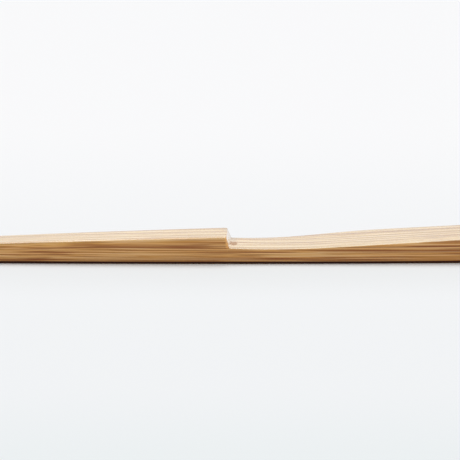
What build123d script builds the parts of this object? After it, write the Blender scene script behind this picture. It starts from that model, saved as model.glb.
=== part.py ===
from build123d import *
import math
import os

# Bone folder (creasing and burnishing tool) carved from a blank of five bamboo strips,
# stood on edge and glued side by side. The blade points to -X, the handle to +X and the
# front edge faces -Y. The flat underside lies at Z = 0, and the origin is at the bottom
# centre of the tool's box. Every strip is a sub-part, and so is every cured glue line.

os.makedirs("parts", exist_ok=True)

# ---- Driving dimensions, millimetres ----
length = 180.0
width = 22.0
thickness = 5.0
blade_length = 84.0

# The glued-up blank, from front to rear
strip_names = ("front_strip", "front_inner_strip", "centre_strip", "rear_inner_strip", "rear_strip")
glue_thickness = 0.1

# The plan outline
front_edge_radius = 1000.0
front_apex_before_step = 3.5
rear_edge_radius = 1200.0
blade_width_at_step = 14.9
blade_rear_taper = 0.051
flare_length = 32.0
flare_fullness = 0.42
nose_length = 13.0
nose_rear_corner = 3.7
nose_front_radius = 2.0
nose_rear_radius = 2.8
nose_shoulder_radius = 45.0
butt_crown = 2.5
butt_corner_radius = 6.5

# The side profile of the top, from left to right
nose_tip_height = 1.4
nose_tip_slope = 0.2
nose_thinning_length = 12.0
blade_top_radius = 3000.0
blade_slope_at_step = 0.022
step_lean_angle = 12.0
recess_height = 2.79
recess_bottom_after_step = 8.5
recess_radius = 188.0
ramp_slope = 0.053
crown_radius = 200.0
butt_thinning_length = 21.0
butt_tip_height = 2.4
butt_tip_slope = 0.32

# The arrises, as the setback of a flat planed on each edge
blade_arris = 0.5
handle_arris = 0.3
underside_arris = 0.2
step_arris = 0.15

# ---- Worked-out places in plan ----
strip_count = len(strip_names)
strip_width = (width - (strip_count - 1) * glue_thickness) / strip_count
strip_pitch = strip_width + glue_thickness
front_y = -width / 2
rear_y = width / 2
tip_x = -length / 2
butt_x = length / 2
step_x = tip_x + blade_length
front_apex_x = step_x - front_apex_before_step
flare_end_x = step_x + flare_length
butt_corner_x = butt_x - butt_crown
rear_middle_x = (flare_end_x + butt_corner_x) / 2
nose_shoulder_x = tip_x + nose_length
flare_pull = flare_length * flare_fullness


def front_edge_y(x):
    """Y of the long convex front edge at x, as a shallow parabola."""
    return front_y + (x - front_apex_x) ** 2 / (2 * front_edge_radius)


def rear_edge_y(x):
    """Y of the handle's convex rear edge at x, as a shallow parabola."""
    return rear_y - (x - flare_end_x) ** 2 / (2 * rear_edge_radius)


def soft_curve(start, leaving, end, arriving, pull):
    """Bezier curve that leaves start and arrives at end along two (x, y) directions."""
    first_handle = Vector(start) + Vector(leaving) * pull
    last_handle = Vector(end) - Vector(arriving) * pull
    return Bezier(start, first_handle, last_handle, end)


front_tip = (tip_x, front_edge_y(tip_x))
front_butt = (butt_corner_x, front_edge_y(butt_corner_x))
rear_butt = (butt_corner_x, rear_edge_y(butt_corner_x))
butt_middle = (butt_x, (front_butt[1] + rear_butt[1]) / 2)
flare_end = (flare_end_x, rear_y)
flare_start = (step_x, front_edge_y(step_x) + blade_width_at_step)
nose_shoulder = (nose_shoulder_x, flare_start[1] - blade_rear_taper * (step_x - nose_shoulder_x))
rear_tip = (tip_x, nose_shoulder[1] - nose_rear_corner)
plan_corners = (
    (front_tip, nose_front_radius),
    (rear_tip, nose_rear_radius),
    (nose_shoulder, nose_shoulder_radius),
    (front_butt, butt_corner_radius),
    (rear_butt, butt_corner_radius),
)

# ---- Worked-out places in the side profile ----
nose_thinning_x = tip_x + nose_thinning_length
blade_middle_x = (nose_thinning_x + step_x) / 2
recess_bottom_x = step_x + recess_bottom_after_step
ramp_start_x = recess_bottom_x + ramp_slope * recess_radius
butt_thinning_x = butt_x - butt_thinning_length


def blade_top_z(x):
    """Height of the blade at x: it climbs to the step and eases off towards it."""
    run = step_x - x
    return thickness - blade_slope_at_step * run - run**2 / (2 * blade_top_radius)


def recess_z(x):
    """Height of the scooped finger rest at x."""
    return recess_height + (x - recess_bottom_x) ** 2 / (2 * recess_radius)


wall_foot_x = step_x + (thickness - recess_z(step_x)) * math.tan(math.radians(step_lean_angle))
wall_foot = (wall_foot_x, recess_z(wall_foot_x))
crown_x = ramp_start_x + (thickness - recess_z(ramp_start_x)) / ramp_slope
crown_reach = ramp_slope * crown_radius / 2
nose_thinning_slope = blade_slope_at_step + (step_x - nose_thinning_x) / blade_top_radius
nose_tip = (tip_x, nose_tip_height)
nose_thinning = (nose_thinning_x, blade_top_z(nose_thinning_x))
ramp_start = (ramp_start_x, recess_z(ramp_start_x))
ramp_end = (crown_x - crown_reach, thickness - ramp_slope * crown_reach)
crown = (crown_x, thickness)
crown_end = (crown_x + crown_reach, thickness)
butt_thinning = (butt_thinning_x, thickness)
butt_tip = (butt_x, butt_tip_height)

# The step's top corner is eased by a 45 degree cut, step_arris wide on each side
corner_cut_size = thickness
corner_cut_offset = (corner_cut_size / 2 - step_arris / math.sqrt(2)) / math.sqrt(2)


# The least Z of the normal of a face that looks up, which the step's wall stays below
upward_limit = 0.9


def is_side(face):
    """Upright faces round the outline, whose normal is level to within this limit."""
    level_limit = 0.1
    return abs(face.normal_at().Z) < level_limit


def is_blade_top(face):
    """Faces that look up, left of the step."""
    return face.normal_at().Z > upward_limit and face.center().X < step_x


def is_handle_top(face):
    """Faces that look up, right of the step."""
    return face.normal_at().Z > upward_limit and face.center().X > step_x


# ---- The carved shape that the whole blank is cut to ----
with BuildPart() as carved_tool:
    with BuildSketch(Plane.XY) as plan:
        with BuildLine():
            ThreePointArc(front_tip, (0, front_edge_y(0)), front_butt)
            ThreePointArc(front_butt, butt_middle, rear_butt)
            ThreePointArc(rear_butt, (rear_middle_x, rear_edge_y(rear_middle_x)), flare_end)
            soft_curve(flare_end, (-1, 0), flare_start, (-1, -blade_rear_taper), flare_pull)
            Line(flare_start, nose_shoulder)
            Line(nose_shoulder, rear_tip)
            Line(rear_tip, front_tip)
        make_face()
        for corner, radius in plan_corners:
            fillet(plan.vertices().sort_by_distance(corner)[0], radius)
    extrude(amount=thickness)
    with BuildSketch(Plane.XZ):
        with BuildLine():
            Polyline(nose_tip, (tip_x, 0), (butt_x, 0), butt_tip)
            soft_curve(butt_tip, (-1, butt_tip_slope), butt_thinning, (-1, 0), butt_thinning_length / 3)
            Line(butt_thinning, crown_end)
            Bezier(crown_end, crown, ramp_end)
            Line(ramp_end, ramp_start)
            ThreePointArc(ramp_start, (recess_bottom_x, recess_height), wall_foot)
            Line(wall_foot, (step_x, thickness))
            ThreePointArc((step_x, thickness), (blade_middle_x, blade_top_z(blade_middle_x)), nose_thinning)
            soft_curve(
                nose_thinning,
                (-1, -nose_thinning_slope),
                nose_tip,
                (-1, -nose_tip_slope),
                nose_thinning_length / 3,
            )
        make_face()
    extrude(amount=width, both=True, mode=Mode.INTERSECT)
    side_faces = carved_tool.faces().filter_by(is_side)
    underside = carved_tool.faces().sort_by(Axis.Z)[0]
    chamfer(ShapeList(underside.edges()) & side_faces.edges(), underside_arris)
    for on_region, arris in ((is_blade_top, blade_arris), (is_handle_top, handle_arris)):
        side_faces = carved_tool.faces().filter_by(is_side)
        top_faces = carved_tool.faces().filter_by(on_region)
        chamfer(top_faces.edges() & side_faces.edges(), arris)
    with BuildSketch(Plane.XZ):
        with Locations((step_x + corner_cut_offset, thickness + corner_cut_offset)):
            Rectangle(corner_cut_size, corner_cut_size, rotation=45)
    extrude(amount=width, both=True, mode=Mode.SUBTRACT)


def finish(part, name):
    """Label a finished sub-part, write its STEP file and print what it measures."""
    part.label = name
    export_step(part, f"parts/{name}.step")
    size = part.bounding_box().size
    print(f"{name}: {part.volume:.1f} mm3, {size.X:.1f} x {size.Y:.2f} x {size.Z:.2f} mm")


# ---- The strips: flat slats, carved to the tool's shape after gluing ----
for place, strip_name in enumerate(strip_names):
    strip_middle_y = front_y + strip_width / 2 + place * strip_pitch
    with BuildPart() as strip:
        with BuildSketch(Plane.XY):
            with Locations((0, strip_middle_y)):
                Rectangle(length, strip_width)
        extrude(amount=thickness)
        add(carved_tool.part, mode=Mode.INTERSECT)
    finish(strip.part, strip_name)

# ---- The cured glue between neighbouring strips, planed flush with them ----
for place in range(strip_count - 1):
    glue_middle_y = front_y + strip_width + glue_thickness / 2 + place * strip_pitch
    with BuildPart() as glue_line:
        with BuildSketch(Plane.XY):
            with Locations((0, glue_middle_y)):
                Rectangle(length, glue_thickness)
        extrude(amount=thickness)
        add(carved_tool.part, mode=Mode.INTERSECT)
    finish(glue_line.part, f"glue_line_{place + 1}")
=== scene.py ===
# %% [markdown]
# # A bamboo bone folder
# A bone folder creases and burnishes paper. This one is carved from bamboo: a long flat
# blade, a step for the fingertip, a shallow finger rest and a wide handle. The packed
# model gives its nine pieces, five bamboo strips and the four glue lines between them,
# in metres. We load it first, because every size and place below is worked out from it.

# %% Load the frame
import math

import bmesh
import bpy
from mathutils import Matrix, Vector


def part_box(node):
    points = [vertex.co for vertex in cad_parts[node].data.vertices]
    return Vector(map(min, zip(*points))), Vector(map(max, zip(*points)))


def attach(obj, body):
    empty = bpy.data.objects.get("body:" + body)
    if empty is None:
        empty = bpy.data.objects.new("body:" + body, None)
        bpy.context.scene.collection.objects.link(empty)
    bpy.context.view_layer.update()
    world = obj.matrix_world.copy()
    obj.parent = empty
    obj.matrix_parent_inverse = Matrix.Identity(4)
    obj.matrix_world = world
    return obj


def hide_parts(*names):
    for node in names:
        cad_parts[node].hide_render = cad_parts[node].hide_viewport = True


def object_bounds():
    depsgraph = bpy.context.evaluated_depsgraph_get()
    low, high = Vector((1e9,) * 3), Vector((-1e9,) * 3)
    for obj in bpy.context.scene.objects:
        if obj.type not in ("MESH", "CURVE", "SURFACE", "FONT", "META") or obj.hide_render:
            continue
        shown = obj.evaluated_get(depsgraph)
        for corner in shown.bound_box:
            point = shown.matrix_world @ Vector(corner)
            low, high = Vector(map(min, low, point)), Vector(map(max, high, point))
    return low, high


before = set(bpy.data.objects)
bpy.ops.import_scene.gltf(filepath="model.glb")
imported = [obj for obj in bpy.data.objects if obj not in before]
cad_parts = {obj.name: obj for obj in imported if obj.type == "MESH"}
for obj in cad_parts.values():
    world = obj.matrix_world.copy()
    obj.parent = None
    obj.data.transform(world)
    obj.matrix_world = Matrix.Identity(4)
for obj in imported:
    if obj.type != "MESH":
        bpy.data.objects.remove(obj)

cad_low, cad_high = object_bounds()
MM = 0.001
print("CAD box, mm:", [round(v / MM, 2) for v in cad_high - cad_low])

# %% [markdown]
# ## Working at a thousand times life size
# Modelling tools round off at small sizes, and the finest arris here is a twentieth of a
# millimetre. So the tool is modelled with one unit to the millimetre, and scaled down at
# the end. Its outline could be drawn by hand, point by point. A template of formulas is
# easier to tune: one long arc in front, and behind it a straight taper, an S-shaped flare
# and another arc. It is laid out from the corners of the packed model's box.

# %% The template
TIP_X, BUTT_X = cad_low.x / MM, cad_high.x / MM
FRONT_Y, REAR_Y = cad_low.y / MM, cad_high.y / MM
THICKNESS = cad_high.z / MM
BLADE_LENGTH = 84.0
STEP_X = TIP_X + BLADE_LENGTH
APEX_BEFORE_STEP = 3.5
FRONT_APEX_X = STEP_X - APEX_BEFORE_STEP
FRONT_RADIUS = 1000.0
BLADE_WIDTH = 14.9
BLADE_TAPER = 0.051
NOSE_LENGTH = 13.0
NOSE_DROP = 3.7
NOSE_SHOULDER = 5.0


def front_edge(x):
    """Y of the long front edge, one shallow convex arc."""
    return FRONT_Y + (x - FRONT_APEX_X) ** 2 / (2 * FRONT_RADIUS)


def blade_rear_edge(x):
    """Y of the blade's rear edge, straight until it turns in softly towards the nose."""
    y = front_edge(STEP_X) + BLADE_WIDTH - BLADE_TAPER * (STEP_X - x)
    turn = NOSE_DROP / NOSE_LENGTH - BLADE_TAPER
    past = TIP_X + NOSE_LENGTH - x
    if past < NOSE_SHOULDER:
        return y - turn * max(past + NOSE_SHOULDER, 0) ** 2 / (4 * NOSE_SHOULDER)
    return y - turn * past


print("blade at the nose, mm wide:", round(blade_rear_edge(TIP_X) - front_edge(TIP_X), 2))

# %% [markdown]
# ## The flare
# Behind the step the tool widens to the handle in an S. A Bezier curve leaves along the
# blade and arrives along the handle, so neither end shows a kink. It gives points, not
# the width at a place, so the place is found by halving the curve again and again.

# %% Blade, flare and handle
FLARE_LENGTH = 32.0
FLARE_FULLNESS = 0.42
FLARE_END_X = STEP_X + FLARE_LENGTH
REAR_RADIUS = 1200.0
HALVINGS = 40


def bezier(t, a, b, c, d):
    """A point of the cubic Bezier curve with ends a and d, and handles b and c."""
    s = 1 - t
    return s**3 * a + 3 * s * s * t * b + 3 * s * t * t * c + t**3 * d


def flare(x):
    """Y of the S-shaped flare between blade and handle, found by halving the curve."""
    pull = FLARE_LENGTH * FLARE_FULLNESS
    start_y = blade_rear_edge(STEP_X)
    low, high = 0.0, 1.0
    for _ in range(HALVINGS):
        t = (low + high) / 2
        if bezier(t, STEP_X, STEP_X + pull, FLARE_END_X - pull, FLARE_END_X) < x:
            low = t
        else:
            high = t
    return bezier(t, start_y, start_y + pull * BLADE_TAPER, REAR_Y, REAR_Y)


def rear_edge(x):
    """Y of the rear edge: a straight blade, the flare, then the handle's convex arc."""
    if x <= STEP_X:
        return blade_rear_edge(x)
    if x < FLARE_END_X:
        return flare(x)
    return REAR_Y - (x - FLARE_END_X) ** 2 / (2 * REAR_RADIUS)


print("width at the step, mm:", round(rear_edge(STEP_X) - front_edge(STEP_X), 2))

# %% [markdown]
# ## The side profile
# Seen from the side, the blade thins towards its tip in one very long curve. The step
# drops two millimetres, leaning a little. Behind it the finger rest is a hollow as shallow
# as a spoon, which runs up a straight ramp to the full thickness of the handle. Each
# stretch is its own formula, so each can be tuned alone.

# %% Blade and finger rest
BLADE_SLOPE = 0.022
BLADE_RADIUS = 3000.0
STEP_LEAN = math.tan(math.radians(12.0))
REST_HEIGHT = 2.79
REST_MIDDLE_X = STEP_X + 8.5
REST_RADIUS = 188.0
RAMP_SLOPE = 0.053
CROWN_RADIUS = 200.0


def blade_height(x):
    """Height of the blade, which climbs to the step and eases off towards it."""
    run = STEP_X - x
    return THICKNESS - BLADE_SLOPE * run - run * run / (2 * BLADE_RADIUS)


def rest_height(x):
    """Height of the scooped finger rest, which runs out into a straight ramp."""
    run = x - REST_MIDDLE_X
    turn = RAMP_SLOPE * REST_RADIUS
    if run < turn:
        return REST_HEIGHT + run * run / (2 * REST_RADIUS)
    return REST_HEIGHT + turn * turn / (2 * REST_RADIUS) + (run - turn) * RAMP_SLOPE


WALL_FOOT_X = STEP_X + (THICKNESS - rest_height(STEP_X)) * STEP_LEAN
RAMP_START_X = REST_MIDDLE_X + RAMP_SLOPE * REST_RADIUS
CROWN_X = RAMP_START_X + (THICKNESS - rest_height(RAMP_START_X)) / RAMP_SLOPE
CROWN_REACH = RAMP_SLOPE * CROWN_RADIUS / 2
print("the wall's foot is", round(WALL_FOOT_X - STEP_X, 2), "mm to the right of its top")

# %% [markdown]
# ## The turns of the profile
# The step's top corner and its foot are eased by a fraction of a millimetre, because no
# cutter leaves them perfect. Both ends of the tool are thinned in a soft curve. One
# function then picks the right formula for every place along the tool.

# %% Height of the top along the tool
STEP_EASE = 0.3
FOOT_EASE = 0.3
FOOT_FILL = 0.06
NOSE_THINNING = 12.0
NOSE_HEIGHT = 1.4
NOSE_SLOPE = 0.2
BUTT_THINNING = 21.0
BUTT_HEIGHT = 2.4
BUTT_SLOPE = 0.32


def nose_height(x):
    """Height of the thinned nose."""
    start = TIP_X + NOSE_THINNING
    slope = BLADE_SLOPE + (STEP_X - start) / BLADE_RADIUS
    reach = NOSE_THINNING / 3
    thick = blade_height(start)
    return bezier((start - x) / NOSE_THINNING, thick, thick - reach * slope,
                  NOSE_HEIGHT + reach * NOSE_SLOPE, NOSE_HEIGHT)


def step_height(x):
    """Height across the step: its rounded top corner, then the leaning wall."""
    past = x - STEP_X + STEP_EASE
    if x <= STEP_X:
        return blade_height(x) - STEP_EASE + math.sqrt(max(STEP_EASE**2 - past**2, 0))
    top, bottom = THICKNESS - STEP_EASE, rest_height(WALL_FOOT_X) + FOOT_FILL
    return top + (bottom - top) * (x - STEP_X) / (WALL_FOOT_X - STEP_X)


def handle_height(x):
    """Height behind the step: finger rest, ramp, crown and level handle."""
    left = CROWN_X + CROWN_REACH - x
    if x < WALL_FOOT_X + FOOT_EASE:
        return rest_height(x) + FOOT_FILL * (1 - (x - WALL_FOOT_X) / FOOT_EASE) ** 2
    if left > 2 * CROWN_REACH:
        return rest_height(x)
    return THICKNESS - max(left, 0) ** 2 / (2 * CROWN_RADIUS)


def top_height(x):
    """Height of the top of the tool at x."""
    if x < TIP_X + NOSE_THINNING:
        return nose_height(x)
    if x < STEP_X - STEP_EASE:
        return blade_height(x)
    if x < WALL_FOOT_X:
        return step_height(x)
    if x < BUTT_X - BUTT_THINNING:
        return handle_height(x)
    reach = BUTT_THINNING / 3
    return bezier(1 - (BUTT_X - x) / BUTT_THINNING, THICKNESS, THICKNESS,
                  BUTT_HEIGHT + reach * BUTT_SLOPE, BUTT_HEIGHT)


for x in (TIP_X, STEP_X - 1, REST_MIDDLE_X, CROWN_X, BUTT_X):
    print("height at", round(x, 1), "is", round(top_height(x), 2))

# %% [markdown]
# ## Hands on the bench
# Two small helpers stand in for the mouse. One opens a piece in edit mode with nothing
# selected, and the other selects what passes a test, by its place or by its normal.

# %% Helpers
SLACK = 0.01


def edit(piece, mode="VERT"):
    """Open one object in edit mode with nothing selected."""
    bpy.ops.object.select_all(action="DESELECT")
    bpy.context.view_layer.objects.active = piece
    piece.select_set(True)
    bpy.ops.object.mode_set(mode="EDIT")
    bpy.ops.mesh.select_mode(type=mode)
    bpy.ops.mesh.select_all(action="DESELECT")


def pick(kind, test):
    """Select the verts, edges or faces of the open mesh that pass a test, and count them."""
    mesh = bmesh.from_edit_mesh(bpy.context.object.data)
    bpy.ops.mesh.select_all(action="DESELECT")
    found = [item for item in getattr(mesh, kind) if test(item)]
    for item in found:
        item.select_set(True)
    mesh.select_flush_mode()
    return len(found)


def near(a, b, reach=0.001):
    """True when two numbers agree, to a thousandth if not told otherwise."""
    return abs(a - b) < reach


print("slack for places that are only nearly met, mm:", SLACK)

# %% [markdown]
# ## Choose the stations
# The outline is drawn from station to station along the tool, as a boat's hull is. They
# stand wide apart on the straight blade and crowd together where the profile turns
# quickly: at the round of the blade's end, down the wall of the step, and at its foot.

# %% The stations
TIP_MARGIN = 4.0
BUTT_MARGIN = 9.5
NOSE_STATIONS_END = TIP_X + 14.0
BLADE_STATIONS_END = STEP_X - 1.0
REST_STATIONS_END = STEP_X + 56.0
BUTT_STATIONS_START = BUTT_X - BUTT_THINNING
NOSE_PITCH = 1.0
BLADE_PITCH = 3.5
REST_PITCH = 1.5
HANDLE_PITCH = 3.0
BUTT_PITCH = 1.5
AFTER_FOOT = 0.8
END_ARRIS = 0.55
END_PARTS = 5
EASE_PARTS = 5
WALL_PARTS = 4
FOOT_PARTS = 4
QUARTER = math.pi / 2


def every(start, end, pitch):
    """Evenly spaced stations from start up to end."""
    return [start + pitch * i for i in range(math.ceil((end - start) / pitch - SLACK))]


ease_start_x = STEP_X - STEP_EASE
turn_length = END_ARRIS - STEP_EASE
wall_run = WALL_FOOT_X - STEP_X
turn_stations = [ease_start_x - turn_length * i / END_PARTS for i in range(END_PARTS, 0, -1)]
ease_turns = [math.sin(QUARTER * i / EASE_PARTS) for i in range(EASE_PARTS + 1)]
ease_stations = [ease_start_x + STEP_EASE * turn for turn in ease_turns]
wall_stations = [STEP_X + wall_run * i / WALL_PARTS for i in range(1, WALL_PARTS + 1)]
foot_stations = [WALL_FOOT_X + FOOT_EASE * i / FOOT_PARTS for i in range(1, FOOT_PARTS + 1)]
stations = every(TIP_X + TIP_MARGIN, NOSE_STATIONS_END, NOSE_PITCH)
stations += every(NOSE_STATIONS_END, BLADE_STATIONS_END, BLADE_PITCH)
stations += turn_stations + ease_stations + wall_stations + foot_stations
stations += every(foot_stations[-1] + AFTER_FOOT, REST_STATIONS_END, REST_PITCH)
stations += every(REST_STATIONS_END, BUTT_STATIONS_START, HANDLE_PITCH)
stations += every(BUTT_STATIONS_START, BUTT_X - BUTT_MARGIN, BUTT_PITCH)
print("stations:", len(stations))

# %% [markdown]
# ## Draw the outline as a sheet
# On the bench the outline is traced on the blank from a template. Here one short edge at
# the blade's tip is extruded from station to station. Each time it is stretched to the
# width there, and slid sideways, so that both of its ends lie on the outline.

# %% Trace the outline
START_SIZE = 1.0
BUTT_BOW = 0.7
butt_end_x = BUTT_X - BUTT_BOW


def slide_to(x):
    """Stretch and slide the selected edge until its two ends lie on the outline at x."""
    mesh = bmesh.from_edit_mesh(bpy.context.object.data)
    first, second = [v.co.y for v in mesh.verts if v.select]
    middle = (first + second) / 2
    low_y, high_y = front_edge(x), rear_edge(x)
    stretch = (high_y - low_y) / abs(first - second)
    bpy.ops.transform.resize(value=(1, stretch, 1), center_override=(x, middle, 0))
    bpy.ops.transform.translate(value=(0, (low_y + high_y) / 2 - middle, 0))


bpy.ops.object.select_all(action="DESELECT")
bpy.ops.mesh.primitive_plane_add(size=START_SIZE, location=(TIP_X + START_SIZE / 2, 0, 0))
tool = bpy.context.object
tool.name = "tool"
bpy.ops.object.transform_apply(location=True, rotation=False, scale=False)
edit(tool)
pick("verts", lambda v: near(v.co.x, TIP_X))
slide_to(TIP_X)
pick("verts", lambda v: not near(v.co.x, TIP_X))
bpy.ops.transform.translate(value=(stations[0] - TIP_X - START_SIZE, 0, 0))
slide_to(stations[0])
for start, x in zip(stations, stations[1:] + [butt_end_x]):
    bpy.ops.mesh.extrude_edges_move(TRANSFORM_OT_translate={"value": (x - start, 0, 0)})
    slide_to(x)
print("outline drawn through", len(stations) + 2, "places")

# %% [markdown]
# ## Raise the blank and round its corners
# The sheet is raised to the thickness of the blank. The middle of the butt is drawn out
# into a shallow bow, and the upright corners are rounded with a bevel, small at the nose
# and large at the butt, as a rasp and sandpaper would leave them.

# %% Raise it to a slab and round the corners
CORNER_SEGMENTS = 10
NOSE_ROUND = 2.0
BUTT_ROUND = 6.4
BOW_ROUND = 1.3
bpy.ops.mesh.select_all(action="SELECT")
bpy.ops.mesh.extrude_region_move(TRANSFORM_OT_translate={"value": (0, 0, THICKNESS)})
bpy.ops.mesh.select_all(action="SELECT")
bpy.ops.mesh.normals_make_consistent(inside=False)
bpy.ops.mesh.select_mode(type="EDGE")
butt_middle_y = (front_edge(butt_end_x) + rear_edge(butt_end_x)) / 2


def is_level(edge):
    """True for an edge whose ends are at one height."""
    return near(edge.verts[0].co.z, edge.verts[1].co.z)


def stands_at(edge, x, y):
    """True for the upright edge that stands at x, y."""
    return not is_level(edge) and all((v.co.xy - Vector((x, y))).length < SLACK for v in edge.verts)


pick("edges", lambda e: is_level(e) and all(near(v.co.x, butt_end_x) for v in e.verts))
bpy.ops.mesh.subdivide(number_cuts=1)
pick("edges", lambda e: stands_at(e, butt_end_x, butt_middle_y))
bpy.ops.transform.translate(value=(BUTT_BOW, 0, 0))
corners = (
    (TIP_X, front_edge(TIP_X), NOSE_ROUND),
    (TIP_X, rear_edge(TIP_X), NOSE_ROUND),
    (butt_end_x, front_edge(butt_end_x), BUTT_ROUND),
    (butt_end_x, rear_edge(butt_end_x), BUTT_ROUND),
    (BUTT_X, butt_middle_y, BOW_ROUND),
)
for x, y, setback in corners:
    found = pick("edges", lambda e: stands_at(e, x, y))
    bpy.ops.mesh.bevel(offset=setback, offset_type="OFFSET", segments=CORNER_SEGMENTS, affect="EDGES")
    print("corner edges", found, "set back", setback)

# %% [markdown]
# ## Round the long edges
# A tool that is rubbed over paper and held in the fingers has no sharp edge. The rim of
# the top gets a generous round, and the rim of the underside a small one. Both are bevels
# on the still flat blank, because they stay clean when the top is carved afterwards.

# %% Round the rims
ARRIS = 1.1
UNDER_ARRIS = 0.4
ARRIS_SEGMENTS = 8
UNDER_SEGMENTS = 4
LEVEL_TILT = 0.9
UPRIGHT_TILT = 0.1


def on_rim(edge, up):
    """True where an upright side meets the face that looks up (1) or down (-1)."""
    tilts = [face.normal.z * up for face in edge.link_faces]
    return len(tilts) == 2 and max(tilts) > LEVEL_TILT and min(tilts) < UPRIGHT_TILT


for up, setback, segments in ((1, ARRIS, ARRIS_SEGMENTS), (-1, UNDER_ARRIS, UNDER_SEGMENTS)):
    found = pick("edges", lambda e: on_rim(e, up))
    bpy.ops.mesh.bevel(offset=setback, offset_type="OFFSET", segments=segments, affect="EDGES",
                       loop_slide=True)
    print("rim edges", found, "set back", setback)

# %% [markdown]
# ## Slice the ends
# The nose and the butt have no stations yet, only the long faces that the rounded corners
# left. They are sliced across every half millimetre, so that they can bend when the top
# is carved.

# %% Slice the ends
END_PITCH = 0.5
WELD = 0.00001
slices = every(TIP_X + END_PITCH, TIP_X + TIP_MARGIN, END_PITCH)
slices += every(BUTT_X - BUTT_MARGIN, BUTT_X, END_PITCH)
for x in slices:
    bpy.ops.mesh.select_all(action="SELECT")
    bpy.ops.mesh.bisect(plane_co=(x, 0, 0), plane_no=(1, 0, 0), threshold=WELD)
print("slices across the ends:", len(slices))

# %% [markdown]
# ## Carve the top
# Every station is treated in turn, as a spokeshave would. First the round of its rim is
# shrunk about the sharp corner that it replaced, where it has to be smaller: almost sharp
# on the wall of the step, crisp in the finger rest, where the cutter left it, and growing
# soft again along the handle. Then the upper half of all that stands at one place along
# the tool is lowered together to the side profile, so a rim keeps its shape.

# %% Shape the rim and lower the top, station by station
CRISP_ARRIS = 0.2
WALL_ARRIS = 0.05
SOFT_START_X = STEP_X + 45.0
SOFT_END_X = STEP_X + 75.0
SLANT_ALLOWANCE = 1.4
COLUMN_DIGITS = 3
# Half of the last digit, and a hair more
COLUMN_REACH = 0.00051


def arris_at(x):
    """Size of the round on the top rim at x."""
    if x <= STEP_X:
        return ARRIS
    if x < WALL_FOOT_X + SLACK:
        return WALL_ARRIS
    growth = min(max((x - SOFT_START_X) / (SOFT_END_X - SOFT_START_X), 0), 1)
    return CRISP_ARRIS + (ARRIS - CRISP_ARRIS) * growth * growth * (3 - 2 * growth)


def beside(vertex, x, edge_y, level):
    """True for the vertices at x that lie by one long edge, above a level."""
    above = vertex.co.z > level
    return above and near(vertex.co.x, x) and abs(vertex.co.y - edge_y) < ARRIS * SLANT_ALLOWANCE


bpy.ops.mesh.select_mode(type="VERT")
rim_level = THICKNESS - ARRIS - SLACK
for x in stations:
    shrink = arris_at(x) / ARRIS
    for edge_y in (front_edge(x), rear_edge(x)):
        if shrink < 1 and pick("verts", lambda v: beside(v, x, edge_y, rim_level)):
            corner = (x, edge_y, THICKNESS)
            bpy.ops.transform.resize(value=(1, shrink, shrink), center_override=corner)
mesh = bmesh.from_edit_mesh(tool.data)
columns = sorted({round(v.co.x, COLUMN_DIGITS) for v in mesh.verts})
for x in columns:
    if pick("verts", lambda v: v.co.z > THICKNESS / 2 and near(v.co.x, x, COLUMN_REACH)):
        bpy.ops.transform.translate(value=(0, 0, top_height(x) - THICKNESS))
print("places lowered:", len(columns))

# %% [markdown]
# ## The upright round at the blade's end
# Where the blade stops at the step, its long sides end in an upright corner on each side,
# and a thumb has rubbed it round. It can't be bevelled, because it dies out halfway down
# the side. So the sides are sliced level twice near the foot of the step. What is below
# stays, and what is above is moved in, each height and station by its own amount.

# %% Turn the blade's end in
FOOT_LEVEL = rest_height(WALL_FOOT_X) - 0.08
LEDGE = 0.1
END_REACH = 1.0


def turned_in(x, z):
    """How far in the upright round at the blade's end has taken a long side at x, z."""
    away = max(STEP_X + (THICKNESS - z) * STEP_LEAN - x, 0)
    over = z - (THICKNESS - ARRIS)
    if away >= END_ARRIS:
        return 0
    turn = END_ARRIS - math.sqrt(END_ARRIS**2 - (END_ARRIS - away) ** 2)
    if x > STEP_X + SLACK and over > 0:
        turn += ARRIS - math.sqrt(ARRIS**2 - over**2)
    return turn


def is_end_side(face):
    """True for the upright faces of the long sides close to the step."""
    return abs(face.normal.z) < UPRIGHT_TILT and abs(face.calc_center_median().x - STEP_X) < END_REACH


bpy.ops.mesh.select_mode(type="FACE")
for level in (FOOT_LEVEL, FOOT_LEVEL + LEDGE):
    pick("faces", is_end_side)
    bpy.ops.mesh.bisect(plane_co=(0, 0, level), plane_no=(0, 0, 1), threshold=WELD)
bpy.ops.mesh.select_mode(type="VERT")
foot_level = FOOT_LEVEL + SLACK
end_stations = [s for s in stations if STEP_X - END_ARRIS - SLACK < s < WALL_FOOT_X + SLACK]
for x in end_stations:
    for edge_y, inwards in ((front_edge(x), 1), (rear_edge(x), -1)):
        mesh = bmesh.from_edit_mesh(tool.data)
        levels = sorted({v.co.z for v in mesh.verts if beside(v, x, edge_y, foot_level)})
        for z in levels:
            pick("verts", lambda v: beside(v, x, edge_y, foot_level) and near(v.co.z, z, WELD))
            bpy.ops.transform.translate(value=(0, inwards * turned_in(x, z), 0))
print("stations turned in:", len(end_stations))

# %% [markdown]
# ## A cut a little out of square
# The step was cut by hand, and its rear end lies a fraction of a millimetre further to the
# right. Everything near the step in the rear half is slid that way, from the right to the
# left, so that no station runs over the next one.

# %% Skew the step
TOP_SKEW = 0.15
FOOT_SKEW = 0.4
SKEW_REACH = 5.0


def skew(x):
    """How far the rear end of the cut at x lies to the right of square."""
    if x < WALL_FOOT_X:
        return TOP_SKEW + (FOOT_SKEW - TOP_SKEW) * max(x - STEP_X, 0) / (WALL_FOOT_X - STEP_X)
    return FOOT_SKEW * (1 - (x - WALL_FOOT_X) / SKEW_REACH)


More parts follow.
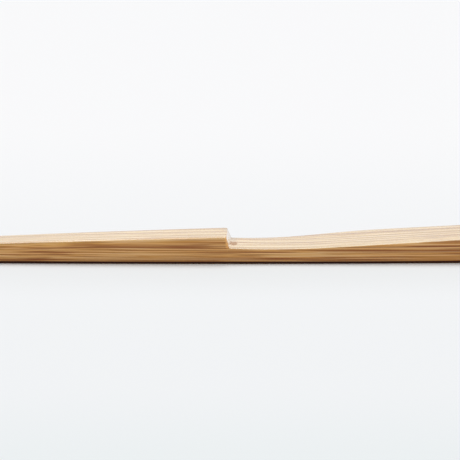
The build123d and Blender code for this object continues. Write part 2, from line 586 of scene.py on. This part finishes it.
skewed_stations = [s for s in stations if STEP_X - STEP_EASE - SLACK < s < WALL_FOOT_X + SKEW_REACH]
for x in reversed(skewed_stations):
    pick("verts", lambda v: v.co.z > THICKNESS / 4 and near(v.co.x, x) and v.co.y > 0)
    bpy.ops.transform.translate(value=(skew(x), 0, 0))
mesh = bmesh.from_edit_mesh(tool.data)
print("verts", len(mesh.verts), "open edges", sum(not e.is_manifold for e in mesh.edges))
bpy.ops.object.mode_set(mode="OBJECT")

# %% [markdown]
# ## Part the tool into its strips
# The real blank was glued up first and carved as one. The pieces are made in the same
# order here: the carved tool is copied once for every strip and every glue line, and each
# copy is sliced at the two planes of its own joint faces, with the cut closed. So the
# surfaces run on without a break from strip to strip.

# %% Slice the pieces
STRIPS = ("front_strip", "front_inner_strip", "centre_strip", "rear_inner_strip", "rear_strip")
GLUE_LINES = ("glue_line_1", "glue_line_2", "glue_line_3", "glue_line_4")
SMOOTH_ANGLE = math.radians(32)


def span(node):
    """Y of the front and the rear face of one node's slice, in millimetres."""
    return [corner.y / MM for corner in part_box(node)]


def slice_off(y, keep_above):
    """Slice the open piece at the plane y, close the cut, and drop one side."""
    bpy.ops.mesh.select_all(action="SELECT")
    bpy.ops.mesh.bisect(plane_co=(0, y, 0), plane_no=(0, 1, 0), use_fill=True, threshold=WELD,
                        clear_inner=keep_above, clear_outer=not keep_above)


def part_out(node):
    """Copy the carved tool and cut the copy down to one node's slice of it."""
    low_y, high_y = span(node)
    bpy.ops.object.select_all(action="DESELECT")
    tool.select_set(True)
    bpy.context.view_layer.objects.active = tool
    bpy.ops.object.duplicate()
    piece = bpy.context.object
    piece.name = "carved_" + node
    edit(piece, "FACE")
    if low_y > FRONT_Y + SLACK:
        slice_off(low_y, True)
    if high_y < REAR_Y - SLACK:
        slice_off(high_y, False)
    bpy.ops.mesh.select_all(action="SELECT")
    bpy.ops.transform.resize(value=(MM, MM, MM), center_override=(0, 0, 0))
    bpy.ops.object.mode_set(mode="OBJECT")
    bpy.ops.object.shade_smooth_by_angle(angle=SMOOTH_ANGLE)
    return piece


pieces = {node: part_out(node) for node in STRIPS + GLUE_LINES}
bpy.data.objects.remove(tool)
for node, piece in pieces.items():
    low_y, high_y = span(node)
    print(node, "from", round(low_y, 2), "to", round(high_y, 2), "faces", len(piece.data.polygons))

# %% [markdown]
# ## Shader maths as plain expressions
# A wood finish is a lot of arithmetic on coordinates. One small class wraps a socket, so
# that an expression such as (1 - mask) * tone adds its Math nodes by itself. Its node
# method adds any other node: first its settings, then the values or links of its sockets.


# %% The wrapped socket
def plug(value, socket):
    """Link a wire into a socket, or set a plain value on it."""
    if isinstance(value, Wire):
        value.tree.links.new(value.socket, socket)
    else:
        socket.default_value = value


class Wire:
    """One output socket, with arithmetic that grows the node tree it belongs to."""

    def __init__(self, tree, socket):
        self.tree = tree
        self.socket = socket

    def node(self, kind, settings=None, output=0, **sockets):
        """Add a node. Socket names are given in small letters, with _ for each space."""
        node = self.tree.nodes.new(kind)
        for name, value in (settings or {}).items():
            setattr(node, name, value)
        for name, value in sockets.items():
            found = [s for s in node.inputs if s.enabled and s.name.lower().replace(" ", "_") == name]
            plug(value, found[0])
        return Wire(self.tree, node.outputs[output])

    def maths(self, operation, *values):
        """A Math node on up to three numbers or wires."""
        node = self.tree.nodes.new("ShaderNodeMath")
        node.operation = operation
        for socket, value in zip(node.inputs, values):
            plug(value, socket)
        return Wire(self.tree, node.outputs[0])

    def __add__(self, other):
        return self.maths("ADD", self, other)

    def __sub__(self, other):
        return self.maths("SUBTRACT", self, other)

    def __rsub__(self, other):
        return self.maths("SUBTRACT", other, self)

    def __mul__(self, other):
        return self.maths("MULTIPLY", self, other)

    def __truediv__(self, other):
        return self.maths("DIVIDE", self, other)

    __radd__ = __add__
    __rmul__ = __mul__

    def squared(self):
        """This number times itself."""
        return self * self

    def larger(self, other):
        """The larger of two numbers."""
        return self.maths("MAXIMUM", self, other)

    def smooth(self, low, high):
        """0 below low, 1 above high, and a soft S between them. Low may be the larger."""
        settings = {"interpolation_type": "SMOOTHSTEP"}
        return self.node("ShaderNodeMapRange", settings, value=self, from_min=low, from_max=high)

    def dot(self, reach):
        """1 at zero, falling softly to 0 at reach on both sides."""
        return self.maths("ABSOLUTE", self).smooth(reach, 0.0)

    def join(self, y, z):
        """Gather three numbers, of which this is x, into a vector."""
        return self.node("ShaderNodeCombineXYZ", x=self, y=y, z=z)

    def split(self, kind="XYZ"):
        """The three numbers of a vector, or of a colour if the kind is Color."""
        node = self.tree.nodes.new("ShaderNodeSeparate" + kind)
        plug(self, node.inputs[0])
        return [Wire(self.tree, output) for output in node.outputs]

    def output(self, name):
        """Another output of the node that this one belongs to."""
        return Wire(self.tree, self.socket.node.outputs[name])

    def noise(self, detail=1.0, output=0):
        """Smooth noise, about 0.5 on average. Output 1 is a colour of three noises."""
        settings = {"noise_dimensions": "3D"}
        return self.node("ShaderNodeTexNoise", settings, output, vector=self, scale=1.0, detail=detail)

    def bump(self, strength, distance):
        """A surface normal with this as its relief."""
        return self.node("ShaderNodeBump", strength=strength, distance=distance, height=self)

    def between(self, first, second):
        """The first colour where this factor is 0, the second where it is 1."""
        node = self.tree.nodes.new("ShaderNodeMix")
        node.data_type = "RGBA"
        for socket, value in zip((node.inputs[0], node.inputs[6], node.inputs[7]), (self, first, second)):
            plug(value, socket)
        return Wire(self.tree, node.outputs[2])

    def tint(self, colour, factor):
        """Turn this colour towards another by a factor."""
        return factor.between(self, colour)


print("a wire can", ", ".join(name for name in vars(Wire) if not name.startswith("_")))

# %% [markdown]
# ## An empty material
# A flat wood pattern would smear where the carving cuts through it. So every finish here
# is worked out from the place of a point in the solid, in millimetres, and its colours
# are mixed as an eye would name them on a screen.


# %% New materials and colours
def new_material(name):
    """An empty material, with its shader and object coordinates in millimetres."""
    material = bpy.data.materials.new(name)
    material.use_nodes = True
    tree = material.node_tree
    tree.nodes.clear()
    output = tree.nodes.new("ShaderNodeOutputMaterial")
    shader = tree.nodes.new("ShaderNodeBsdfPrincipled")
    tree.links.new(shader.outputs[0], output.inputs[0])
    start = Wire(tree, tree.nodes.new("ShaderNodeTexCoord").outputs["Object"])
    place = start.node("ShaderNodeVectorMath", {"operation": "SCALE"}, vector=start, scale=1 / MM)
    return material, shader, *place.split()


def srgb(red, green, blue):
    """A colour given as it looks on a screen, 0 to 255, as the shader wants it."""
    return tuple((c / 255) ** 2.2 for c in (red, green, blue)) + (1.0,)


print("a middle grey of 128 is", round(srgb(128, 128, 128)[0], 3), "to the shader")

# %% [markdown]
# ## Where a point lies on the tool
# Much of the finish depends on the distance from the long edges, the height, and the way
# the surface faces. These are worked out once, from the same template as the shape. Only
# the rear edge is simplified, to the blade's straight line turning into the handle's arc.
# Facing_up is 1 on a level top, 0 on an upright side and -1 underneath, and so on.

# %% The point being shaded
STEP_MIDDLE_X = (STEP_X + WALL_FOOT_X) / 2
STEP_REACH = 1.5


class Spot:
    """The point being shaded: its place in millimetres, and how its surface faces."""

    def __init__(self, x, y, z):
        self.x, self.y, self.z = x, y, z
        normal = x.node("ShaderNodeNewGeometry").output("Normal")
        self.facing_right, self.facing_back, self.facing_up = normal.split()
        self.top = self.facing_up.smooth(0.4, 1.0)
        # Streaks show less on the top, as a painted sheen washes them out.
        self.streak_depth_under_sheen = 1 - self.top * 0.4
        self.bow = (x - FRONT_APEX_X).squared() * (0.5 / FRONT_RADIUS)
        self.front_gap = y - FRONT_Y - self.bow
        blade_line = (x - STEP_X) * BLADE_TAPER + (front_edge(STEP_X) + BLADE_WIDTH)
        handle_line = REAR_Y - (x - FLARE_END_X).squared() * (0.5 / REAR_RADIUS)
        flared = x.smooth(STEP_X, FLARE_END_X)
        self.rear_gap = blade_line * (1 - flared) + handle_line * flared - y
        # 1 where the rim of the top is round, and 0 in the finger rest
        self.round_rim = x.smooth(WALL_FOOT_X, STEP_X) + x.smooth(SOFT_START_X, SOFT_END_X)
        self.near_step = (x - STEP_MIDDLE_X).dot(STEP_REACH).smooth(0.0, 0.3)


print("middle of the step, x:", round(STEP_MIDDLE_X, 2))

# %% [markdown]
# ## The run of the fibres
# Fibres are nearly straight in a culm. They wander by a fraction of a millimetre over a
# finger's length, and swirl where a joint of the culm crosses the strip. In the two front
# strips they also follow the bow of the front edge. The pattern is drawn in coordinates
# that give way in the same manner, so all its layers wander together.

# %% How the fibres run
WANDER = 0.7
WANDER_LENGTH = 55.0
WANDER_WIDTH = 40.0
SWIRL_SIZE = 3.0
SWIRL_ACROSS = 0.8
SWIRL_RISE = 0.5


def fibre_run(spot, phase, bend, joint):
    """Where a point lies across the fibres when their wandering is undone, as y and z."""
    wander = (spot.x / WANDER_LENGTH + phase).join(spot.y / WANDER_WIDTH, spot.z / WANDER_WIDTH)
    drift = wander.noise(output=1).split("Color")
    whirl = (spot.x / SWIRL_SIZE).join(spot.y / SWIRL_SIZE + phase, spot.z / SWIRL_SIZE)
    swirl = (whirl.noise() - 0.5) * joint
    fibre_y = spot.y - spot.bow * bend + (drift[0] - 0.5) * WANDER + swirl * SWIRL_ACROSS
    fibre_z = spot.z + (drift[1] - 0.5) * WANDER + swirl * SWIRL_RISE
    return fibre_y, fibre_z


print("fibres wander, mm to each side:", WANDER / 2)

# %% [markdown]
# ## Fibre bundles
# A bamboo culm has no rings. Long dark fibre bundles, each round a pale vessel, run along
# it through soft straw-coloured tissue, and they crowd together towards the outer side of
# its wall. So cells are scattered over the strip's cross-section, and each cell is one
# bundle. Where a carved face crosses them at a shallow angle, they show as the long
# tapering dashes that bamboo is known by, and on end grain as dots, with nothing drawn by
# hand. Each one fades in and out along its run, as it does where it is planed off.

# %% Fibre bundles over the cross-section
COARSE_PITCH, COARSE_RADIUS = 0.78, 0.18
FINE_PITCH, FINE_RADIUS = 0.46, 0.13
FINE_SHIFT = 7.3
BUNDLE_SCATTER = 0.85
BUNDLE_LENGTH = 34.0


def bundles(x, y, z, pitch, radius, seed):
    """How far each point lies in the dark sheath of its nearest bundle, and how far in
    the pale vessel that the sheath surrounds."""
    grid = (y / pitch + seed).join(z / pitch + seed, 0.5)
    settings = {"voronoi_dimensions": "2D", "feature": "F1"}
    cell = grid.node("ShaderNodeTexVoronoi", settings, vector=grid, scale=1.0, randomness=BUNDLE_SCATTER)
    lots = cell.output("Color").split("Color")
    size = lots[1] * 0.5 + 0.75
    away = cell * (pitch / radius) / size
    life = (x / BUNDLE_LENGTH + lots[0] * 40).join(lots[0] * 90, seed).noise(2.0).smooth(0.34, 0.54)
    sheath = away.smooth(1.05, 0.85) * away.smooth(0.36, 0.52)
    vessel = away.smooth(0.42, 0.26)
    return sheath * life, vessel * (life * 0.8 + 0.2)


def graded_bundles(x, fibre_y, fibre_z, phase, density):
    """Coarse bundles where the density is 0, turning into fine ones where it is 1."""
    coarse = bundles(x, fibre_y, fibre_z, COARSE_PITCH, COARSE_RADIUS, phase)
    fine = bundles(x, fibre_y, fibre_z, FINE_PITCH, FINE_RADIUS, phase + FINE_SHIFT)
    return [a * (1 - density) + b * density for a, b in zip(coarse, fine)]


print("bundles, mm across: coarse", 2 * COARSE_RADIUS, "fine", 2 * FINE_RADIUS)

# %% [markdown]
# ## Soft tissue
# Bamboo isn't one brown. The soft tissue changes slowly from straw to honey, and is warmer
# towards the root end of the culm. Noise that is drawn out along the fibres gives such
# changes. One broad noise and one coarse one are enough, and the next step draws the same
# kind out finer. A streak's size is its length, width and height in millimetres.

# %% The tissue's colour
STRAW = srgb(222, 168, 98)
HONEY = srgb(202, 136, 68)
BROAD_STREAK = (45.0, 5.0, 2.2)
COARSE_STREAK = (45.0, 0.6, 0.6)


def streak(x, y, z, size, shift=0, detail=1.0):
    """Smooth noise of one streak size, moved along the tool by a shift."""
    length, width, height = size
    return (x / length + shift).join(y / width, z / height).noise(detail)


def tissue(spot, fibre_y, fibre_z, phase, density, tone):
    """The colour of the soft tissue, which the tone warms."""
    broad = streak(spot.x, spot.y, spot.z, BROAD_STREAK, phase) - 0.5
    coarse = streak(spot.x, fibre_y, fibre_z, COARSE_STREAK, phase * 2) - 0.5
    rootward = spot.x.smooth(TIP_X, BUTT_X) - 0.5
    warmth = broad + coarse * 1.4 + density * 0.3 + rootward * 0.4 + tone
    return warmth.between(STRAW, HONEY)


print("straw, as the shader takes it:", [round(c, 2) for c in STRAW[:3]])

# %% [markdown]
# ## Streaks and bundles
# Hair-fine fibres run between the bundles too, and show as dark and pale streaks. They are
# fainter on the top, where a painted sheen washes them out, and there only broad soft bands
# stand out. The bundles come over them, a dark red brown round pale vessels.

# %% Streaks and bundles
FIBRE = srgb(130, 62, 18)
VESSEL = srgb(234, 188, 130)
BAND = srgb(172, 124, 56)
CREAM = srgb(255, 234, 192)
FINE_STREAK = (18.0, 0.15, 0.15)
MEDIUM_STREAK = (24.0, 0.25, 0.25)
BAND_STREAK = (42.0, 0.95, 4.0)


def streaked(colour, spot, fine, medium, band):
    """Dark and pale streaks. Each line gives where one fades in, and how strong it is."""
    depth = spot.streak_depth_under_sheen
    colour = colour.tint(FIBRE, fine.smooth(0.46, 0.36) * depth * 0.5)
    colour = colour.tint(VESSEL, fine.smooth(0.54, 0.64) * depth * 0.6)
    colour = colour.tint(FIBRE, medium.smooth(0.46, 0.38) * depth * 0.7)
    colour = colour.tint(VESSEL, medium.smooth(0.55, 0.62) * depth * 0.85)
    colour = colour.tint(BAND, band.smooth(0.50, 0.40) * spot.top * 0.7)
    return colour.tint(CREAM, band.smooth(0.52, 0.62) * spot.top * 0.4)


def with_bundles(colour, spot, sheath, vessel):
    """The bundles themselves, dark sheaths round pale vessels."""
    colour = colour.tint(FIBRE, sheath * spot.streak_depth_under_sheen * 0.75)
    return colour.tint(VESSEL, vessel * spot.streak_depth_under_sheen * 0.7)


print("finest streak, mm:", FINE_STREAK)

# %% [markdown]
# ## Painted light and shade
# The top is lightened by a painted sheen. A painted highlight runs beside its front edge,
# just inside the round rim where there is one, and the rim itself is darkened to amber as
# painted shade. Beside the rear edge the top is darkened as painted shade. The front arris
# and the end of the blade get a painted gold highlight, and the rear arris painted shade.
# The sides are darkened low down and to near black at the lower rim as painted shade where
# the tool meets the table, but the underside isn't.

# %% Painted light and shade
PALE_SHEEN = srgb(240, 216, 150)
GOLD_HIGHLIGHT = srgb(244, 178, 98)
AMBER_SHADE = srgb(194, 138, 50)
CONTACT_SHADE = srgb(52, 20, 0)
LINE_GAP = 0.8
LINE_REACH = 1.2
ROUND_RIM_SHIFT = 1.7
AMBER_INNER, AMBER_OUTER = 2.4, 0.8
REAR_SHADE_INNER, REAR_SHADE_OUTER = 3.2, 0.6
SHADE_TOP, SHADE_BOTTOM = 1.3, 0.1
CONTACT_SHADE_TOP, CONTACT_SHADE_BOTTOM = 0.58, 0.4


def painted_top_light(colour, spot, painted_sheen):
    """Painted sheen and highlight line on the top, and painted shade on its amber rim and beside its rear
    edge.
    """
    # Painted sheen: the top is lightened.
    colour = colour.tint(PALE_SHEEN, spot.top * painted_sheen)
    # Painted highlight: a pale line just inside the front edge.
    painted_highlight_line = (spot.front_gap - spot.round_rim * ROUND_RIM_SHIFT - LINE_GAP).dot(LINE_REACH)
    colour = colour.tint(CREAM, painted_highlight_line * spot.top * 0.55)
    # Painted shade: the upper half of the round front rim is darkened to amber.
    amber = spot.front_gap.smooth(AMBER_INNER, AMBER_OUTER) * spot.facing_up.smooth(0.2, 0.6)
    colour = colour.tint(AMBER_SHADE, amber * spot.round_rim * 0.65)
    # Painted shade: the top is darkened beside the rear edge.
    return colour.tint(BAND, spot.rear_gap.smooth(REAR_SHADE_INNER, REAR_SHADE_OUTER) * spot.top * 0.5)


def arris_light_and_shade(colour, spot):
    """A painted gold highlight on the front arris and on the blade's rounded end, and painted brown shade
    on the rear arris.
    """
    forward = (0 - spot.facing_back).smooth(0.1, 0.5)
    arris = spot.facing_up.smooth(0.04, 0.3) * spot.facing_up.smooth(0.85, 0.5) * 0.4
    blade_end = spot.facing_right.smooth(0.08, 0.3) * spot.near_step
    # Painted highlight: gold on the front arris and on the blade's rounded end.
    colour = colour.tint(GOLD_HIGHLIGHT, forward * arris.larger(blade_end) * 0.45)
    rear_arris_shade = spot.facing_back.smooth(0.1, 0.5) * spot.facing_up.smooth(0.1, 0.4)
    # Painted shade: the rear arris is darkened to brown.
    return colour.tint(FIBRE, rear_arris_shade * 0.25)


def low_side_shade(colour, spot):
    """The sides, with painted shade low down and a near-black painted contact shade at the lower rim. Also
    how far that painted shade reaches.
    """
    sideways = spot.facing_up.smooth(-0.95, -0.7)
    # Painted shade: the sides are darkened low down.
    colour = colour.tint(FIBRE, spot.z.smooth(SHADE_TOP, SHADE_BOTTOM) * sideways * 0.5)
    # Painted shade: near black at the lower rim, where the tool meets the table.
    contact_shading = spot.z.smooth(CONTACT_SHADE_TOP, CONTACT_SHADE_BOTTOM) * sideways
    return colour.tint(CONTACT_SHADE, contact_shading), contact_shading


print("the stain reaches", CONTACT_SHADE_TOP, "mm up the sides")

# %% [markdown]
# ## Marks of cutting the step
# The step was cut across the grain. Its wall was pared clean, and shows pale end grain,
# made paler still by a painted reflection. At its foot the blade tore some fibres out, in a
# rough patch towards the front. The rear end of the foot is darkened with painted shade.

# %% The step's marks
TORN = srgb(150, 98, 30)
CORNER_SHADE = srgb(150, 138, 122)
END_GRAIN_AND_REFLECTION = srgb(246, 232, 212)
TORN_GRAIN = (0.5, 1.2, 0.5)
TORN_AFTER_FOOT = 0.75
TORN_REACH_X, TORN_WOBBLE_X = 1.2, 1.2
TORN_MIDDLE_Y = -4.4
TORN_REACH_Y, TORN_WOBBLE_Y = 3.8, 7.0
REST_SKIN = (0.5, 0.2)
CORNER_SHADE_AFTER_FOOT = 0.4
CORNER_SHADE_REACH_X = 2.2
CORNER_SHADE_INNER, CORNER_SHADE_OUTER = 7.5, 2.5


def step_marks(colour, spot):
    """The torn patch, the pared wall with its painted reflection, and the painted shade in the
    corner. Also the wall, and how far and how roughly the fibres are torn."""
    past_foot = spot.x - WALL_FOOT_X
    above = spot.z.smooth(REST_HEIGHT - REST_SKIN[0], REST_HEIGHT - REST_SKIN[1])
    grain = streak(spot.x, spot.y, spot.z, TORN_GRAIN, detail=2.0)
    torn_x = (past_foot - TORN_AFTER_FOOT + (grain - 0.5) * TORN_WOBBLE_X).dot(TORN_REACH_X)
    torn_y = (spot.y - TORN_MIDDLE_Y + (grain - 0.5) * TORN_WOBBLE_Y).dot(TORN_REACH_Y)
    torn = (torn_x * torn_y * above * 1.6).smooth(0.1, 0.7)
    colour = colour.tint(TORN, torn * 0.85)
    wall = spot.near_step * spot.facing_right.smooth(0.82, 0.96)
    # Pale end grain, lightened further as a painted reflection.
    colour = colour.tint(END_GRAIN_AND_REFLECTION, wall * 0.8)
    # Painted shade: the rear end of the step's foot is darkened.
    corner = (past_foot - CORNER_SHADE_AFTER_FOOT).dot(CORNER_SHADE_REACH_X) * spot.rear_gap.smooth(CORNER_SHADE_INNER, CORNER_SHADE_OUTER)
    return colour.tint(CORNER_SHADE, corner * above * 0.55), wall, torn, torn * grain


print("torn patch, mm from front to rear:", 2 * TORN_REACH_Y)

# %% [markdown]
# ## One strip's bamboo
# All the layers are put together: the tissue, the painted sheen, highlight and shade of the
# top, its streaks and bundles, then the painted highlights and shade of the arrises, the
# culm's skin, the painted shade low on the sides and the marks of the step, with their
# painted reflection and shade. The same noises also drive the relief and the roughness,
# so a dark fibre is a tiny groove too. A thin coat of oil lies over all but the lowest edge.

# %% The bamboo finish
JOINT_REACH = 4.0
DENSE_FROM, DENSE_TO = 0.45, 1.0
SKIN_FROM, SKIN_TO = 0.87, 0.95
SKIN_LENGTH = 30.0
RELIEF = 0.35
RELIEF_DEPTH = 0.00002
SPECULAR = 0.25
COAT_BOTTOM, COAT_TOP = 0.3, 0.8
COAT_WEIGHT = 0.3
COAT_IOR = 1.3
COAT_ROUGHNESS = 0.16


def bamboo(name, phase, tone, painted_sheen, bend, outer_side, crowding, joint_x):
    """One strip's bamboo. The phase scatters it, the tone warms it, and the paleness lightens
    its top as a painted sheen. Bend is 1 for fibres that follow the front edge and 0 for
    straight ones. The culm's outer side is +1 at the rear or -1 at the front, and crowding
    says how dense the bundles grow there. A culm joint crosses the strip at joint_x."""
    material, shader, x, y, z = new_material(name)
    spot = Spot(x, y, z)
    low_y, high_y = span(name)
    across = (y - low_y) / (high_y - low_y)
    outer = across if outer_side > 0 else 1 - across
    density = outer.smooth(DENSE_FROM, DENSE_TO) * crowding
    joint = (x - joint_x).dot(JOINT_REACH)

    fibre_y, fibre_z = fibre_run(spot, phase, bend, joint)
    sheath, vessel = graded_bundles(x, fibre_y, fibre_z, phase, density)
    fine = streak(x, fibre_y, fibre_z, FINE_STREAK)
    medium = streak(x, fibre_y, fibre_z, MEDIUM_STREAK, phase)
    band = streak(x, fibre_y, z, BAND_STREAK, phase * 3)
    skin = (x / SKIN_LENGTH + phase * 3).join(0.5, 0.5).noise().smooth(0.25, 0.5)

    colour = tissue(spot, fibre_y, fibre_z, phase, density, tone)
    colour = painted_top_light(colour, spot, painted_sheen)
    colour = streaked(colour, spot, fine, medium, band)
    colour = with_bundles(colour, spot, sheath, vessel)
    colour = colour.tint(FIBRE, joint * 0.16)
    colour = arris_light_and_shade(colour, spot)
    colour = colour.tint(FIBRE, outer.smooth(SKIN_FROM, SKIN_TO) * skin * crowding * 0.6)
    colour, contact_shading = low_side_shade(colour, spot)
    colour, wall, torn, ragged = step_marks(colour, spot)

    grain_roughness = 0.26 + sheath * 0.12 + (medium - 0.5) * 0.12
    roughness = grain_roughness + torn * 0.35 + contact_shading * 0.5 - wall * 0.14
    relief = fine * 0.5 + medium * 0.3 - sheath * 0.8 - vessel * 0.5 - ragged * 3
    plug(colour, shader.inputs["Base Color"])
    plug(roughness, shader.inputs["Roughness"])
    plug(SPECULAR, shader.inputs["Specular IOR Level"])
    plug(z.smooth(COAT_BOTTOM, COAT_TOP) * COAT_WEIGHT, shader.inputs["Coat Weight"])
    plug(COAT_IOR, shader.inputs["Coat IOR"])
    plug(COAT_ROUGHNESS, shader.inputs["Coat Roughness"])
    plug(relief.bump(RELIEF, RELIEF_DEPTH), shader.inputs["Normal"])
    return material


print("a culm joint shows over", 2 * JOINT_REACH, "mm")

# %% [markdown]
# ## Give each strip its bamboo
# Every slat comes from another culm, so each gets its own pattern, tone and crowding. The
# rear slat is turned round, with the culm's outer side to the front, as gluers do to even
# out the tension. The three inner slats show a joint of the culm, each in its own place.

# %% The strips' looks
strip_looks = {
    "front_strip": dict(phase=5.3, tone=0.35, painted_sheen=0.75, bend=0.85, outer_side=1,
                        crowding=0.2, joint_x=STEP_X - 120.0),
    "front_inner_strip": dict(phase=4.1, tone=0.35, painted_sheen=0.65, bend=0.4, outer_side=1,
                              crowding=1.0, joint_x=STEP_X + 38.7),
    "centre_strip": dict(phase=8.9, tone=0.40, painted_sheen=0.65, bend=0.0, outer_side=1,
                         crowding=0.9, joint_x=STEP_X - 52.0),
    "rear_inner_strip": dict(phase=13.3, tone=0.30, painted_sheen=0.65, bend=0.0, outer_side=1,
                             crowding=1.0, joint_x=STEP_X + 76.0),
    "rear_strip": dict(phase=17.6, tone=0.40, painted_sheen=0.65, bend=0.0, outer_side=-1,
                       crowding=0.9, joint_x=STEP_X + 140.0),
}
for node, look in strip_looks.items():
    pieces[node].data.materials.append(bamboo(node, **look))
print("shader nodes in one strip:", len(pieces["front_strip"].data.materials[0].node_tree.nodes))

# %% [markdown]
# ## Cured glue
# Wood glue dries to a thin amber line, darker where it lies thick. One soft noise is
# enough for it, which colours it, roughens it and gives it a little relief.

# %% The glue
GLUE_LIGHT = srgb(176, 126, 76)
GLUE_DARK = srgb(134, 86, 46)
GLUE_BLOTCH = (5.0, 1.0, 0.8)
GLUE_RELIEF = 0.3
GLUE_RELIEF_DEPTH = 0.00001


def cured_glue():
    """Amber glue that has soaked a little way into the strips beside it."""
    material, shader, x, y, z = new_material("cured_glue")
    blotch = streak(x, y, z, GLUE_BLOTCH, detail=2.0)
    plug(blotch.smooth(0.35, 0.7).between(GLUE_LIGHT, GLUE_DARK), shader.inputs["Base Color"])
    plug(0.35 + blotch * 0.2, shader.inputs["Roughness"])
    plug(blotch.bump(GLUE_RELIEF, GLUE_RELIEF_DEPTH), shader.inputs["Normal"])
    return material


glue = cured_glue()
for node in GLUE_LINES:
    pieces[node].data.materials.append(glue)
print("glue lines finished:", len(GLUE_LINES))

# %% [markdown]
# ## Stand each carved piece for its node
# The tool is rigid, so every piece rides on the root. Each one takes the place of the
# packed piece of the same slice.

# %% Ride and replace
for node, piece in pieces.items():
    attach(piece, "root")
    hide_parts(node)
print("pieces that stand for a node:", len(pieces))

# %% [markdown]
# ## The table
# The tool lies on matt white card that runs far out on all sides. A real sheet is never
# lit evenly, and that is painted into its colour: a painted shadow pool around the tool,
# painted shade towards the near edge, and a painted gradient that darkens from far to near.
# Two more lamps could do that too, but they would also change the tool.

# %% The floor
FLOOR_SIZE = 12.0
NEAR_FLOOR = (0.820, 0.836, 0.850, 1.0)
FAR_FLOOR = (0.885, 0.887, 0.897, 1.0)
SOFT_SHADE = (0.792, 0.804, 0.810, 1.0)
EDGE_SHADE = (0.780, 0.815, 0.825, 1.0)
NEAR_Y, FAR_Y = -200, 320
EDGE_START_Y, EDGE_END_Y = -115, -165
POOL_AHEAD = 8
POOL_REACH_X, POOL_REACH_Y = 150, 34
bpy.ops.object.select_all(action="DESELECT")
bpy.ops.mesh.primitive_plane_add(size=FLOOR_SIZE, location=(0, 0, 0))
floor = bpy.context.object
floor.name = "floor"
material, shader, x, y, z = new_material("paper_white")
# Painted shade: the floor darkens from far to near, and more towards the near edge.
floor_colour = y.smooth(NEAR_Y, FAR_Y).between(NEAR_FLOOR, FAR_FLOOR)
floor_colour = floor_colour.tint(EDGE_SHADE, y.smooth(EDGE_START_Y, EDGE_END_Y))
# Painted shadow: a soft pool around the tool.
painted_shadow_pool = (y - FRONT_Y + POOL_AHEAD).dot(POOL_REACH_Y) * x.dot(POOL_REACH_X)
plug(floor_colour.tint(SOFT_SHADE, painted_shadow_pool), shader.inputs["Base Color"])
plug(1.0, shader.inputs["Roughness"])
plug(0.0, shader.inputs["Specular IOR Level"])
floor.data.materials.append(material)
print("floor, m:", FLOOR_SIZE)

# %% [markdown]
# ## The light
# A product is shot in a bright white room. The room shows white to the camera and in
# reflections, but lights the tool with little more than half of that. Two wide, soft
# panels add the rest: a strong one high behind the tool, which lights its top and leaves
# a faint shade in front of it, and a weak one on the right, which lights the step's wall.

# %% The light
AMBIENT = 0.58
world = bpy.data.worlds.new("studio")
bpy.context.scene.world = world
world.use_nodes = True
tree = world.node_tree
camera_ray = Wire(tree, tree.nodes.new("ShaderNodeLightPath").outputs["Is Camera Ray"])
seen = camera_ray.larger(camera_ray.output("Is Glossy Ray"))
background = tree.nodes["Background"]
plug((1, 1, 1, 1), background.inputs["Color"])
plug(seen * (1 - AMBIENT) + AMBIENT, background.inputs["Strength"])


def sun(name, azimuth, elevation, spread, strength):
    """A broad, soft sun from a compass direction, where azimuth 0 is the front."""
    lamp = bpy.data.lights.new(name, "SUN")
    lamp.energy = strength
    lamp.angle = math.radians(spread)
    holder = bpy.data.objects.new(name, lamp)
    bpy.context.scene.collection.objects.link(holder)
    level = math.cos(math.radians(elevation))
    turn = math.radians(azimuth)
    source = Vector((level * math.sin(turn), -level * math.cos(turn), math.sin(math.radians(elevation))))
    holder.rotation_euler = (-source).to_track_quat("-Z", "Y").to_euler()
    print(name, "of strength", strength, "from", azimuth, "degrees, raised", elevation)


sun("overhead_panel", azimuth=180, elevation=52, spread=45, strength=1.6)
sun("side_panel", azimuth=90, elevation=28, spread=40, strength=0.6)

# %% [markdown]
# ## The camera
# The camera looks along the table, raised only a little, so the long side is seen in full
# and the top is much foreshortened. A long lens keeps the perspective flat. It aims just
# to the right of the step, a little above the tool.

# %% The camera
LENS = 150.0
SENSOR = 36.0
DISTANCE = 0.355
ELEVATION = math.radians(7.6)
AIM_PAST_STEP = 0.6
AIM_HEIGHT = 6.4
aim = Vector((STEP_X + AIM_PAST_STEP, FRONT_Y, AIM_HEIGHT)) * MM
camera_data = bpy.data.cameras.new("camera")
camera_data.lens = LENS
camera_data.sensor_width = SENSOR
camera_data.clip_start = 0.01
camera_data.clip_end = 50.0
camera = bpy.data.objects.new("camera", camera_data)
bpy.context.scene.collection.objects.link(camera)
toward_camera = Vector((0, -math.cos(ELEVATION), math.sin(ELEVATION)))
camera.location = aim + toward_camera * DISTANCE
camera.rotation_euler = (-toward_camera).to_track_quat("-Z", "Y").to_euler()
bpy.context.scene.camera = camera
bpy.context.scene.view_settings.view_transform = "Standard"
print("camera at, mm:", [round(v / MM, 1) for v in camera.location])

# %% [markdown]
# ## The sizes
# The carved tool has to fill the same box as the packed one.
